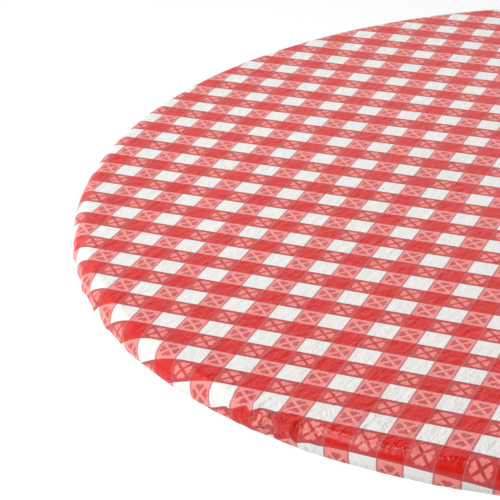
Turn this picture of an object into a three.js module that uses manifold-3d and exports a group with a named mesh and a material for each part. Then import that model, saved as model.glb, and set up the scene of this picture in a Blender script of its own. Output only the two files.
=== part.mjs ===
// A round pedestal table top dressed in a fitted, elastic-edged vinyl cloth.
// Millimetres, +Z up. The origin is on the floor, under the centre of the table.
// Every mesh is one physical piece. Pieces that touch on the real table are kept JOINT_GAP apart.
import * as THREE from "three";
import { mergeVertices } from "three/addons/utils/BufferGeometryUtils.js";
import Module from "manifold-3d";

const wasm = await Module();
wasm.setup();

// ---- Driving dimensions ----

const TABLE_DIAMETER = 1116; // the bare wooden top
const TABLE_HEIGHT = 750; // floor to the dressed surface
const TOP_THICKNESS = 18; // core and both laminates together
const JOINT_GAP = 0.3; // between two pieces that touch
const RING_SIDES = 48; // sides of every large round, so that concentric pieces nest

const CLOTH = {
  face: 0.6, // printed vinyl film
  backing: 1.0, // flannel bonded under it
  tuck: 54, // how far the cloth reaches in under the top
  hemDrop: 2, // how far the hem hangs below the tucked cloth's start
};

const HEM = {
  tape: 0.7, // binding tape's thickness
  overlap: 8, // how far each leg of the tape laps over the cloth
  elasticWidth: 5,
  threadRadius: 0.35,
  threadInset: 4, // stitch line's distance in from the tape's outer edge
};

const TOP = {
  laminate: 1.0,
  nosingWidth: 30,
  upperRound: 14.6, // the nosing's edge, which the cloth is pulled over
  lowerRound: 2.8,
  tongueDepth: 8,
  tongueThickness: 5,
};

const COLUMN = { diameter: 76.2, wall: 2, socketDepth: 12 };

const SPIDER = {
  hubRadius: 58,
  plate: 6, // thickness of the four arms
  hubThickness: 15,
  socketWall: 7,
  reach: 236,
  armWidth: 46,
  tipWidth: 34,
  ribWidth: 9,
  ribReach: 122,
  ribDrop: 12,
};

const BASE = {
  reach: 345,
  hubRadius: 62,
  hubHeight: 80,
  rootHeight: 62,
  tipHeight: 20,
  rootWidth: 68,
  tipWidth: 46,
  wall: 6,
  tipSolid: 44, // length of the solid pad at each arm's end
};

const ROD = { diameter: 10, headAcross: 17, headHeight: 6.4, standout: 6 };
const NUT = { across: 17, height: 8 };
const WASHER = { diameter: 30, thickness: 2.5 };
const GLIDE = { diameter: 30, pad: 6, stemDiameter: 8, stemLength: 13 };
const SCREW = { shank: 4.8, head: 9.6, headHeight: 3, bite: 12, stations: [146, 214] };

// ---- Sizes worked out from them ----

const clothStack = CLOTH.face + JOINT_GAP + CLOTH.backing + JOINT_GAP;
const boardRadius = TABLE_DIAMETER / 2;
const boardTop = TABLE_HEIGHT - clothStack;
const boardBottom = boardTop - TOP_THICKNESS;
const coreTop = boardTop - TOP.laminate - JOINT_GAP;
const coreBottom = boardBottom + TOP.laminate + JOINT_GAP;
const coreRadius = boardRadius - TOP.nosingWidth;
const upperRound = Math.min(TOP.upperRound, TOP_THICKNESS - TOP.lowerRound - JOINT_GAP);
const lowerRound = TOP.lowerRound;
const hemRadius = boardRadius - CLOTH.tuck;
const spiderTop = boardBottom - JOINT_GAP;
const columnRadius = COLUMN.diameter / 2;
const socketRadius = columnRadius + JOINT_GAP;
const spiderHubBottom = spiderTop - SPIDER.hubThickness;
const columnTop = spiderHubBottom - JOINT_GAP;
const baseBottom = GLIDE.pad + JOINT_GAP;
const baseSocketFloor = BASE.hubHeight - COLUMN.socketDepth;
const columnBottom = baseSocketFloor + JOINT_GAP;
const rodClearRadius = ROD.diameter / 2 + JOINT_GAP;
const rodHeadTop = spiderTop - 1.6;
const rodHeadBottom = rodHeadTop - ROD.headHeight;
const nutPocketRadius = WASHER.diameter / 2 + 7;
const nutPocketTop = baseSocketFloor - 22;
const washerTop = nutPocketTop - JOINT_GAP;
const washerBottom = washerTop - WASHER.thickness;
const nutTop = washerBottom - JOINT_GAP;
const nutBottom = nutTop - NUT.height;
const glideRadiusFromAxis = BASE.reach - BASE.tipWidth / 2;
const QUARTER_TURN = Math.PI / 2;

// ---- Materials ----

const material = (color, roughness, metalness) =>
  new THREE.MeshStandardMaterial({ color, roughness, metalness });
const MATERIALS = {
  vinyl: material(0xd9474a, 0.3, 0),
  flannel: material(0xeeece6, 0.95, 0),
  tape: material(0xf2f0ea, 0.85, 0),
  elastic: material(0xf6f4ee, 0.9, 0),
  thread: material(0xffffff, 0.8, 0),
  laminate: material(0xcfc4b0, 0.5, 0),
  plywood: material(0xc79f6b, 0.7, 0),
  hardwood: material(0xb5814a, 0.55, 0),
  ironPaint: material(0x1d1e20, 0.5, 0.4),
  columnPaint: material(0x1a1b1d, 0.4, 0.5),
  zinc: material(0xb9bcc0, 0.35, 0.9),
  nylon: material(0x2a2a2c, 0.6, 0),
};

// ---- Small helpers ----

// A geometry as a manifold-3d solid, so that it can be cut and joined.
function solidOf(geometry) {
  const bare = geometry.index ? geometry.toNonIndexed() : geometry.clone();
  bare.deleteAttribute("normal");
  bare.deleteAttribute("uv");
  const merged = mergeVertices(bare, 1e-4);
  const vertProperties = new Float32Array(merged.attributes.position.array);
  const triVerts = new Uint32Array(merged.index.array);
  return new wasm.Manifold(new wasm.Mesh({ numProp: 3, vertProperties, triVerts }));
}

// A manifold-3d solid back as a three.js geometry.
function geometryOf(solid) {
  const made = solid.getMesh();
  const geometry = new THREE.BufferGeometry();
  geometry.setAttribute("position", new THREE.BufferAttribute(made.vertProperties, 3));
  geometry.setIndex(new THREE.BufferAttribute(made.triVerts, 1));
  geometry.computeVertexNormals();
  return geometry;
}

// A profile of [radius, height] points turned about +Z. Points run up the outside and down the inside.
function turned(points, sides = RING_SIDES) {
  const profile = points.map(([radius, height]) => new THREE.Vector2(radius, height));
  return new THREE.LatheGeometry(profile, sides).rotateX(QUARTER_TURN);
}

// A turned ring: the profile is closed on itself.
const ring = (points, sides) => turned([...points, points[0]], sides);

// A plain round bar standing on +Z between two heights.
function bar(radius, low, high, sides = 24) {
  return turned([[0, low], [radius, low], [radius, high], [0, high]], sides);
}

// A hexagonal bar of a given width across its flats.
function hexBar(acrossFlats, low, high) {
  return bar(acrossFlats / Math.sqrt(3), low, high, 6);
}

// An outline of [x, y] points, given depth along +Z from low to high.
function plate(outline, low, high) {
  const shape = new THREE.Shape(outline.map(([x, y]) => new THREE.Vector2(x, y)));
  const geometry = new THREE.ExtrudeGeometry(shape, { depth: high - low, bevelEnabled: false });
  return geometry.translate(0, 0, low);
}

// An outline of [x, z] points, given a width along Y centred on the XZ plane.
function sidePlate(outline, width) {
  return plate(outline, -width / 2, width / 2).rotateX(QUARTER_TURN);
}

// Points on a round of the given centre, from one angle to another, in degrees.
function round(centreR, centreZ, radius, fromDegrees, toDegrees, steps) {
  return Array.from({ length: steps + 1 }, (_, i) => {
    const angle = THREE.MathUtils.degToRad(fromDegrees + ((toDegrees - fromDegrees) * i) / steps);
    return [centreR + radius * Math.cos(angle), centreZ + radius * Math.sin(angle)];
  });
}

const group = new THREE.Group();

function add(name, geometry, finish) {
  const mesh = new THREE.Mesh(geometry, finish);
  mesh.name = name;
  group.add(mesh);
}

// The same solid at each of the four arms.
const fourWays = [0, 1, 2, 3].map((i) => i * QUARTER_TURN);
const joined = (solids) => solids.reduce((sum, next) => sum.add(next));

// ---- The cloth ----

const TOP_BEND_STEPS = 4;
const BOTTOM_BEND_STEPS = 2;

// The dressed edge at a height above the board: top centre, over the nosing, down and in to the hem.
function clothPath(standoff) {
  const topCentre = [boardRadius - upperRound, boardTop - upperRound];
  const bottomCentre = [boardRadius - lowerRound, boardBottom + lowerRound];
  const topRound = round(...topCentre, upperRound + standoff, 90, 0, TOP_BEND_STEPS);
  const bottomRound = round(...bottomCentre, lowerRound + standoff, 0, -90, BOTTOM_BEND_STEPS);
  const hemEnd = [hemRadius, boardBottom - standoff - CLOTH.hemDrop];
  return [[0, boardTop + standoff], ...topRound, ...bottomRound, hemEnd];
}

// A layer of the cloth between two heights above the board.
function clothLayer(inner, outer) {
  return turned([...clothPath(inner), ...clothPath(outer).reverse()]);
}

const backingInner = JOINT_GAP;
const backingOuter = backingInner + CLOTH.backing;
const faceInner = backingOuter + JOINT_GAP;
const faceOuter = faceInner + CLOTH.face;

function addCloth() {
  add("vinyl_face", clothLayer(faceInner, faceOuter), MATERIALS.vinyl);
  add("flannel_backing", clothLayer(backingInner, backingOuter), MATERIALS.flannel);
}

// The hem's binding tape is folded round the cloth's cut edge, with the elastic in the fold.
function addHem() {
  const clothLow = boardBottom - CLOTH.hemDrop - faceOuter;
  const clothHigh = boardBottom - CLOTH.hemDrop - backingInner;
  const slope = CLOTH.hemDrop / (boardRadius - lowerRound - hemRadius);
  const rise = HEM.overlap * slope;
  const insideLow = clothLow - JOINT_GAP;
  const insideHigh = clothHigh + JOINT_GAP;
  const outerEdge = hemRadius + HEM.overlap;
  const foldInside = hemRadius - JOINT_GAP - HEM.elasticWidth - JOINT_GAP;
  const foldOutside = foldInside - HEM.tape;
  add(
    "hem_binding",
    ring([
      [foldOutside, insideLow - HEM.tape],
      [hemRadius, insideLow - HEM.tape],
      [outerEdge, insideLow - HEM.tape + rise],
      [outerEdge, insideLow + rise],
      [hemRadius, insideLow],
      [foldInside, insideLow],
      [foldInside, insideHigh],
      [hemRadius, insideHigh],
      [outerEdge, insideHigh + rise],
      [outerEdge, insideHigh + HEM.tape + rise],
      [hemRadius, insideHigh + HEM.tape],
      [foldOutside, insideHigh + HEM.tape],
    ]),
    MATERIALS.tape,
  );
  add(
    "hem_elastic",
    ring([
      [foldInside + JOINT_GAP, clothLow],
      [hemRadius - JOINT_GAP, clothLow],
      [hemRadius - JOINT_GAP, clothHigh],
      [foldInside + JOINT_GAP, clothHigh],
    ]),
    MATERIALS.elastic,
  );
  const threadHeight = insideLow - HEM.tape - JOINT_GAP - HEM.threadRadius;
  const threadRise = (HEM.overlap - HEM.threadInset) * slope;
  const threadSection = round(
    outerEdge - HEM.threadInset,
    threadHeight + threadRise,
    HEM.threadRadius,
    -90,
    180,
    3,
  );
  add("hem_stitching", ring(threadSection), MATERIALS.thread);
}

// ---- The wooden top ----

// One drilled hole for each screw, from below, up to a height.
function screwHoles(low, high) {
  const radius = SCREW.shank / 2 + JOINT_GAP;
  const hole = solidOf(bar(radius, low, high, 10));
  return joined(screwPlaces().map(({ x, y }) => hole.translate([x, y, 0])));
}

function screwPlaces() {
  return fourWays.flatMap((angle) =>
    SCREW.stations.map((radius) => ({ x: radius * Math.cos(angle), y: radius * Math.sin(angle) })),
  );
}

const screwTip = boardBottom + SCREW.bite;

function addTop() {
  const tongueLow = (coreTop + coreBottom - TOP.tongueThickness) / 2;
  const tongueHigh = tongueLow + TOP.tongueThickness;
  const grooveRadius = coreRadius - TOP.tongueDepth;
  const core = turned([
    [0, coreBottom],
    [coreRadius, coreBottom],
    [coreRadius, tongueLow - JOINT_GAP],
    [grooveRadius, tongueLow - JOINT_GAP],
    [grooveRadius, tongueHigh + JOINT_GAP],
    [coreRadius, tongueHigh + JOINT_GAP],
    [coreRadius, coreTop],
    [0, coreTop],
  ]);
  const drilled = solidOf(core).subtract(screwHoles(coreBottom - 1, screwTip + JOINT_GAP));
  add("tabletop_core", geometryOf(drilled), MATERIALS.plywood);

  const topCentre = [boardRadius - upperRound, boardTop - upperRound];
  const bottomCentre = [boardRadius - lowerRound, boardBottom + lowerRound];
  const nosingInside = coreRadius + JOINT_GAP;
  add(
    "nosing_ring",
    ring([
      [nosingInside, boardBottom],
      ...round(...bottomCentre, lowerRound, -90, 0, BOTTOM_BEND_STEPS),
      ...round(...topCentre, upperRound, 0, 90, TOP_BEND_STEPS),
      [nosingInside, boardTop],
      [nosingInside, tongueHigh],
      [grooveRadius + JOINT_GAP, tongueHigh],
      [grooveRadius + JOINT_GAP, tongueLow],
      [nosingInside, tongueLow],
    ]),
    MATERIALS.hardwood,
  );

  add("top_laminate", bar(coreRadius, coreTop + JOINT_GAP, boardTop, RING_SIDES), MATERIALS.laminate);
  const backer = solidOf(bar(coreRadius, boardBottom, coreBottom - JOINT_GAP, RING_SIDES));
  const drilledBacker = backer.subtract(screwHoles(boardBottom - 1, coreBottom + 1));
  add("backer_laminate", geometryOf(drilledBacker), MATERIALS.laminate);
}

// ---- The iron spider that carries the top ----

function spiderArm() {
  const plan = [
    [0, -SPIDER.armWidth / 2],
    [SPIDER.hubRadius, -SPIDER.armWidth / 2],
    ...round(SPIDER.reach - SPIDER.tipWidth / 2, 0, SPIDER.tipWidth / 2, -80, 80, 6),
    [SPIDER.hubRadius, SPIDER.armWidth / 2],
    [0, SPIDER.armWidth / 2],
  ];
  const flat = solidOf(plate(plan, spiderTop - SPIDER.plate, spiderTop));
  const ribRoot = spiderTop - SPIDER.plate - SPIDER.ribDrop;
  const rib = sidePlate(
    [
      [columnRadius + SPIDER.socketWall / 2, ribRoot],
      [SPIDER.ribReach, spiderTop - SPIDER.plate - 1],
      [SPIDER.ribReach, spiderTop - SPIDER.plate / 2],
      [columnRadius + SPIDER.socketWall / 2, spiderTop - SPIDER.plate / 2],
    ],
    SPIDER.ribWidth,
  );
  return flat.add(solidOf(rib));
}

function addSpider() {
  const socketOutside = socketRadius + SPIDER.socketWall;
  const socketLow = spiderHubBottom - COLUMN.socketDepth;
  const hub = solidOf(
    turned([
      [0, spiderHubBottom],
      [socketRadius, spiderHubBottom],
      [socketRadius, socketLow],
      [socketOutside, socketLow],
      [socketOutside + 2, spiderHubBottom],
      [SPIDER.hubRadius, spiderTop - SPIDER.plate],
      [SPIDER.hubRadius, spiderTop],
      [0, spiderTop],
    ], 48),
  );
  const arms = fourWays.map((angle) => spiderArm().rotate([0, 0, THREE.MathUtils.radToDeg(angle)]));
  const headPocket = solidOf(hexBar(ROD.headAcross + 3, rodHeadBottom - JOINT_GAP, spiderTop + 1));
  const rodHole = solidOf(bar(rodClearRadius, socketLow - 1, spiderTop + 1));
  const holes = screwHoles(spiderTop - SPIDER.plate - 1, spiderTop + 1);
  const spider = joined([hub, ...arms]).subtract(headPocket).subtract(rodHole).subtract(holes);
  add("top_spider", geometryOf(spider), MATERIALS.ironPaint);
}

// ---- The column, its tie rod and the cross base ----

function addColumn() {
  const inside = columnRadius - COLUMN.wall;
  add(
    "column_tube",
    ring([
      [inside, columnBottom],
      [columnRadius, columnBottom],
      [columnRadius, columnTop],
      [inside, columnTop],
    ], 48),
    MATERIALS.columnPaint,
  );
  const rodBottom = nutBottom - ROD.standout;
  const shank = solidOf(bar(ROD.diameter / 2, rodBottom, rodHeadBottom + 1));
  const head = solidOf(hexBar(ROD.headAcross, rodHeadBottom, rodHeadTop));
  add("tie_rod", geometryOf(shank.add(head)), MATERIALS.zinc);
  const washer = ring([
    [rodClearRadius, washerBottom],
    [WASHER.diameter / 2, washerBottom],
    [WASHER.diameter / 2, washerTop],
    [rodClearRadius, washerTop],
  ], 24);
  add("rod_washer", washer, MATERIALS.zinc);
  const nutBore = solidOf(bar(rodClearRadius, nutBottom - 1, nutTop + 1));
  const nut = solidOf(hexBar(NUT.across, nutBottom, nutTop)).subtract(nutBore);
  add("rod_nut", geometryOf(nut), MATERIALS.zinc);
}

// An arm of the cross: its side view and its plan are each a tapering outline, and it fills both.
function baseArm(inset, low) {
  const tipEnd = inset ? BASE.reach - BASE.tipSolid : BASE.reach;
  const side = [
    [0, low],
    [tipEnd, low],
    [tipEnd, BASE.tipHeight + baseBottom - inset],
    [BASE.hubRadius, BASE.rootHeight - inset],
    [0, BASE.rootHeight - inset],
  ];
  const tipRadius = BASE.tipWidth / 2;
  const plan = [
    [0, -BASE.rootWidth / 2 + inset],
    [BASE.hubRadius, -BASE.rootWidth / 2 + inset],
    ...round(BASE.reach - tipRadius, 0, tipRadius - inset, -85, 85, 8),
    [BASE.hubRadius, BASE.rootWidth / 2 - inset],
    [0, BASE.rootWidth / 2 - inset],
  ];
  const sideSolid = solidOf(sidePlate(side, BASE.rootWidth + 2));
  return sideSolid.intersect(solidOf(plate(plan, low, BASE.hubHeight)));
}

function addBase() {
  const hub = solidOf(
    turned([
      [0, baseBottom],
      [BASE.hubRadius, baseBottom],
      [BASE.hubRadius, BASE.hubHeight - 14],
      [BASE.hubRadius - 10, BASE.hubHeight],
      [socketRadius, BASE.hubHeight],
      [socketRadius, baseSocketFloor],
      [0, baseSocketFloor],
    ], 48),
  );
  const turn = (solid, angle) => solid.rotate([0, 0, THREE.MathUtils.radToDeg(angle)]);
  const arms = joined(fourWays.map((angle) => turn(baseArm(0, baseBottom), angle)));
  const socketSpace = solidOf(bar(socketRadius, baseSocketFloor, BASE.hubHeight + 1, 48));
  const hollows = joined(fourWays.map((angle) => turn(baseArm(BASE.wall, baseBottom - 1), angle)));
  const pillar = solidOf(bar(BASE.hubRadius - BASE.wall, baseBottom - 2, BASE.hubHeight, 48));
  const nutPocket = solidOf(bar(nutPocketRadius, baseBottom - 1, nutPocketTop, 32));
  const rodHole = solidOf(bar(rodClearRadius, nutPocketTop - 1, baseSocketFloor + 1));
  const stemHole = solidOf(
    bar(GLIDE.stemDiameter / 2 + JOINT_GAP, baseBottom - 1, GLIDE.pad + GLIDE.stemLength + JOINT_GAP, 16),
  );
  const stemHoles = joined(
    fourWays.map((angle) => turn(stemHole.translate([glideRadiusFromAxis, 0, 0]), angle)),
  );
  const base = hub
    .add(arms)
    .subtract(socketSpace)
    .subtract(hollows.subtract(pillar))
    .subtract(nutPocket)
    .subtract(rodHole)
    .subtract(stemHoles);
  add("cross_base", geometryOf(base), MATERIALS.ironPaint);
}

function addGlides() {
  const stem = GLIDE.stemDiameter / 2;
  const pad = GLIDE.diameter / 2;
  fourWays.forEach((angle, i) => {
    const glide = turned([
      [0, 0],
      [pad - 1.5, 0],
      [pad, 1.5],
      [pad, GLIDE.pad],
      [stem, GLIDE.pad],
      [stem, GLIDE.pad + GLIDE.stemLength],
      [0, GLIDE.pad + GLIDE.stemLength],
    ], 16);
    glide.translate(glideRadiusFromAxis, 0, 0).rotateZ(angle);
    add(`foot_glide_${i + 1}`, glide, MATERIALS.nylon);
  });
}

function addScrews() {
  const shank = SCREW.shank / 2;
  const head = SCREW.head / 2;
  const seat = spiderTop - SPIDER.plate - JOINT_GAP;
  screwPlaces().forEach(({ x, y }, i) => {
    const screw = turned([
      [0, seat - SCREW.headHeight],
      [head * 0.6, seat - SCREW.headHeight],
      [head, seat - SCREW.headHeight * 0.4],
      [head, seat],
      [shank, seat],
      [shank, screwTip - 3],
      [0, screwTip],
    ], 10);
    add(`spider_screw_${i + 1}`, screw.translate(x, y, 0), MATERIALS.zinc);
  });
}

addCloth();
addHem();
addTop();
addSpider();
addColumn();
addBase();
addGlides();
addScrews();

export default group;
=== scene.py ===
"""The looks of a round pedestal table dressed in a fitted, elastic-edged check cloth.

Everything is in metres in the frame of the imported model: the floor is at z = 0 and the column
stands on the z axis. Shapes are numpy grids, and the print of the cloth is a node pattern that
follows the flat cut of the cloth.
"""

import math

import bpy
import numpy as np
from mathutils import Matrix, Vector


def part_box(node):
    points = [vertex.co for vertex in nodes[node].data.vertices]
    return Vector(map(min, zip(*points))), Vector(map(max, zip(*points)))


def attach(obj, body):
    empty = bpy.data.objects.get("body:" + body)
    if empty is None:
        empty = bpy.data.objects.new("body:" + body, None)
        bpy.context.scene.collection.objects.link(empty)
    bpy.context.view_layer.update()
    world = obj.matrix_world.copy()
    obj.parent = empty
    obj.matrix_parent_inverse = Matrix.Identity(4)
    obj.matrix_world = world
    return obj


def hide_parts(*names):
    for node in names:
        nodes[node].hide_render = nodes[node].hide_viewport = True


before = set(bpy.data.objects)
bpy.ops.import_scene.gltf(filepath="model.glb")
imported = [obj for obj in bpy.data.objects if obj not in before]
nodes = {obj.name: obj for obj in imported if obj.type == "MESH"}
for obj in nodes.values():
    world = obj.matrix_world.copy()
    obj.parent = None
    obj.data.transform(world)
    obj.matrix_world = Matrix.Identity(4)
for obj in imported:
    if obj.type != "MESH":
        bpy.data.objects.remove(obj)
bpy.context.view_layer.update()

MM = 0.001

# ---- Sizes, from the frame where it holds them ----

face_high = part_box("vinyl_face")[1]
nosing_low, nosing_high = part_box("nosing_ring")
binding_low, binding_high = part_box("hem_binding")
elastic_low, elastic_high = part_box("hem_elastic")
column_low, column_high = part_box("column_tube")
spider_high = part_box("top_spider")[1]
base_low, base_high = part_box("cross_base")

SURFACE = face_high.z
BOARD_RADIUS = nosing_high.x
BOARD_TOP = nosing_high.z
BOARD_LOW = nosing_low.z
STANDOFF = SURFACE - BOARD_TOP  # the film's outer side above the board
UPPER_ROUND = 14.6 * MM  # the nosing's edge
LOWER_ROUND = 2.8 * MM
HEM_DROP = 2.0 * MM  # how far the cloth sinks between the board's edge and the hem
HEM_RADIUS = elastic_high.x + 0.3 * MM
FILM = 0.5 * MM
LINING_OUTER = 1.4 * MM  # the lining's two sides above the board
LINING_INNER = 0.4 * MM
BINDING_WIDTH = 14.3 * MM
BINDING_THICKNESS = 0.7 * MM
ELASTIC_WIDTH = 5 * MM
SEAM_INSET = 4 * MM  # from the tape's outer edge

ARM_WALL = 6 * MM  # the iron base's thickness
BASE_HUB = 62 * MM  # radius
BASE_BOSS = 68 * MM  # height of the floor of the column's socket
BASE_RIM = 80 * MM
BASE_POCKET = 46 * MM  # height of the roof of the nut's pocket
BASE_POCKET_RADIUS = 22 * MM
SPIDER_HUB = 58 * MM  # radius
SPIDER_PLATE = 6 * MM
SOCKET_RADIUS = 38.4 * MM  # round the column, in both castings
TUBE_WALL = 2 * MM
ROD_RADIUS = 5 * MM
ROD_BORE = 5.3 * MM  # radius of the castings' holes for the rod
ROD_THREAD_TOP = 60 * MM
ROD_PITCH = 1.5 * MM
HEAD_BORE = 11.6 * MM  # radius of the spider's pocket for the rod's head
SPANNER = 17 * MM  # across the flats of the rod's head and the nut

# The printed check: one check across the table's X, a little less along its Y.
CHECK_X = 24.7 * MM
CHECK_Y = 23.87 * MM
PRINT_SHIFT = (0.047, -0.304)  # checks, from a white check's centre to the table's centre
PRINT_SKEW = 0.0027  # of the rows, across X

# ---- The camera's place, seen from the table ----

CAMERA_PLACE = (0.3858, -1.6200, 1.5355)
CAMERA_AZIMUTH = 26.355
CAMERA_ELEVATION = 27.492
CAMERA_ROLL = -3.768
SENSOR = 36.0
LENS = 121.1

# ---- Meshes from grids ----


def mesh_object(name, vertices, quads, triangles=(), sharp=35):
    """An object at the origin with these corners and faces, smooth but for edges over `sharp` degrees."""
    mesh = bpy.data.meshes.new(name)
    quads = np.asarray(quads, np.int32).reshape(-1, 4)
    triangles = np.asarray(triangles, np.int32).reshape(-1, 3)
    loops = np.concatenate([quads.ravel(), triangles.ravel()])
    starts = np.concatenate([np.arange(len(quads)) * 4, len(quads) * 4 + np.arange(len(triangles)) * 3])
    mesh.vertices.add(len(vertices))
    mesh.vertices.foreach_set("co", np.asarray(vertices, np.float32).ravel())
    mesh.loops.add(len(loops))
    mesh.loops.foreach_set("vertex_index", loops.astype(np.int32))
    mesh.polygons.add(len(starts))
    mesh.polygons.foreach_set("loop_start", starts.astype(np.int32))
    mesh.update(calc_edges=True)
    mesh.validate()
    mesh.polygons.foreach_set("use_smooth", np.ones(len(mesh.polygons), bool))
    mesh.set_sharp_from_angle(angle=math.radians(sharp))
    thing = bpy.data.objects.new(name, mesh)
    bpy.context.scene.collection.objects.link(thing)
    return thing


def ring_faces(rows, columns, first, looped):
    """Quads between neighbouring closed rings, and from the last ring to the first if looped."""
    row = np.arange(rows if looped else rows - 1)[:, None]
    column = np.arange(columns)[None, :]
    right = (column + 1) % columns
    below = (row + 1) % rows
    corners = np.stack([row * columns + column, below * columns + column,
                        below * columns + right, row * columns + right], -1)
    return (corners + first).reshape(-1, 4)


def shell_parts(rings, looped=False):
    """Corners, quads and triangles of rings (rows, columns, 3). Open ends close on a centre point."""
    rings = np.asarray(rings, float)
    rows, columns = rings.shape[:2]
    quads = ring_faces(rows, columns, 0, looped)
    if looped:
        return rings.reshape(-1, 3), quads, np.zeros((0, 3), int)
    ends = np.stack([rings[0].mean(0), rings[-1].mean(0)])
    vertices = np.concatenate([rings.reshape(-1, 3), ends])
    column = np.arange(columns)
    right = (column + 1) % columns
    start = np.full(columns, rows * columns)
    last = (rows - 1) * columns
    triangles = np.concatenate([np.stack([start, column, right], -1),
                                np.stack([start + 1, last + right, last + column], -1)])
    return vertices, quads, triangles


def joined_parts(parts):
    """Several (corners, quads, triangles) as one."""
    vertices, quads, triangles, base = [], [], [], 0
    for corner, quad, triangle in parts:
        vertices.append(corner)
        quads.append(np.asarray(quad) + base)
        triangles.append(np.asarray(triangle) + base)
        base += len(corner)
    return np.concatenate(vertices), np.concatenate(quads), np.concatenate(triangles)


def turned_rings(profile, sides, centre=(0.0, 0.0)):
    """Rings of a profile of (radius, height) turned about the vertical line through centre."""
    profile = np.asarray(profile, float)
    angle = np.arange(sides) * (2 * math.pi / sides)
    x = centre[0] + profile[:, :1] * np.cos(angle)
    y = centre[1] + profile[:, :1] * np.sin(angle)
    z = np.broadcast_to(profile[:, 1:], x.shape)
    return np.stack([x, y, z], -1)


MOST_OF_SIDE = 0.45


def softened(points, radius, steps=3, closed=False):
    """A broken line with each corner replaced by a quadratic curve that starts `radius` before it.

    A curve takes less than half of a side, so that neighbouring curves stay apart."""
    points = np.asarray(points, float)
    count = len(points)
    out = [] if closed else [points[:1]]
    t = np.linspace(0, 1, steps + 1)[:, None]
    for i in range(count) if closed else range(1, count - 1):
        before, at, after = points[i - 1], points[i], points[(i + 1) % count]
        reach = [min(radius, MOST_OF_SIDE * np.linalg.norm(p - at)) for p in (before, after)]
        a = at + (before - at) / max(np.linalg.norm(before - at), 1e-9) * reach[0]
        b = at + (after - at) / max(np.linalg.norm(after - at), 1e-9) * reach[1]
        out.append((1 - t) ** 2 * a + 2 * t * (1 - t) * at + t ** 2 * b)
    if not closed:
        out.append(points[-1:])
    return np.concatenate(out)


def smooth(low, high, x):
    """0 below low, 1 above high and a smooth S between: three squares less two cubes. High may be the
    smaller."""
    t = np.clip((x - low) / (high - low), 0, 1)
    return t * t * (3 - 2 * t)


# ---- The cloth's shape ----

FLAT_REACH = BOARD_RADIUS - UPPER_ROUND
UPPER_ARC = (UPPER_ROUND + STANDOFF) * math.pi / 2
EDGE_DROP = BOARD_TOP - BOARD_LOW - UPPER_ROUND - LOWER_ROUND
LOWER_ARC = (LOWER_ROUND + STANDOFF) * math.pi / 2
TUCK = BOARD_RADIUS - LOWER_ROUND - HEM_RADIUS
ARC_START = FLAT_REACH
ARC_END = ARC_START + UPPER_ARC
LOWER_START = ARC_END + EDGE_DROP
TUCK_START = LOWER_START + LOWER_ARC
CUT_RADIUS = TUCK_START + TUCK


def dressed_path(cut, standoff):
    """Where the cloth at distance `cut` from its centre lies: radius, height and the outward normal.

    It runs flat to the nosing, round its upper quarter circle, down, round its lower quarter circle
    and back in under the board, sinking a little towards the hem."""
    upper = np.clip((cut - ARC_START) / UPPER_ARC, 0, 1) * (math.pi / 2)
    drop = np.clip(cut - ARC_END, 0, EDGE_DROP)
    lower = np.clip((cut - LOWER_START) / LOWER_ARC, 0, 1) * (math.pi / 2)
    under = np.clip(cut - TUCK_START, 0, TUCK)
    turned_over = cut > ARC_END
    radius = np.where(
        turned_over,
        BOARD_RADIUS - LOWER_ROUND + (LOWER_ROUND + standoff) * np.cos(lower) - under,
        np.minimum(cut, FLAT_REACH) + (UPPER_ROUND + standoff) * np.sin(upper),
    )
    height = np.where(
        turned_over,
        BOARD_TOP - UPPER_ROUND - drop - (LOWER_ROUND + standoff) * np.sin(lower)
        - HEM_DROP * under / TUCK,
        BOARD_TOP - UPPER_ROUND + (UPPER_ROUND + standoff) * np.cos(upper),
    )
    normal_r = np.where(turned_over, np.cos(lower), np.sin(upper))
    normal_z = np.where(turned_over, -np.sin(lower), np.cos(upper))
    return radius, height, normal_r, normal_z


def apart(angle, centres):
    """Signed angles from each centre to each angle, as (centres, angles)."""
    return (angle[None, :] - centres[:, None] + math.pi) % (2 * math.pi) - math.pi


def ridges(cut, angle, centres, width, height, start, rise, end=1.0, fall=10 * MM):
    """A sum of ridges, as (cut, angle). Each is a bell curve across a radius of the cloth, and it rises
    along the radius over `rise` from start and falls over `fall` from end."""
    across = np.exp(-((apart(angle, centres) * BOARD_RADIUS / width[:, None]) ** 2))
    along = smooth(start, start + rise, cut[:, None]) * (1 - smooth(end, end + fall, cut[:, None]))
    return (along * height) @ across


def dents(cut, angle, places, length, width, height, turn):
    """A sum of short ridges, each at its own place (cut, angle) and turned its own way: a bell curve
    of `length` one way and `width` the other."""
    away = cut[:, None, None] - places[:, 0]
    side = apart(angle, places[:, 1]).T[None] * BOARD_RADIUS
    along = away * np.cos(turn) + side * np.sin(turn)
    across = side * np.cos(turn) - away * np.sin(turn)
    return (height * np.exp(-((along / length) ** 2) - (across / width) ** 2)).sum(-1)


GATHERS = 208
PUCKERS = 120
SOFT_FOLDS = 34
CRUMPLE_DENTS = 84
CRUMPLE_AZIMUTH = 254.5  # degrees
FACET_AZIMUTHS = (209.0, 213.5, 217.5, 221.0, 225.5, 229.0, 234.0)
FACET_WIDTHS = (9, 7, 6, 8, 7, 6, 9)  # mm
FACET_HEIGHTS = (0.7, 1.2, 0.8, 1.5, 1.1, 1.3, 0.8)  # mm


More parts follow.
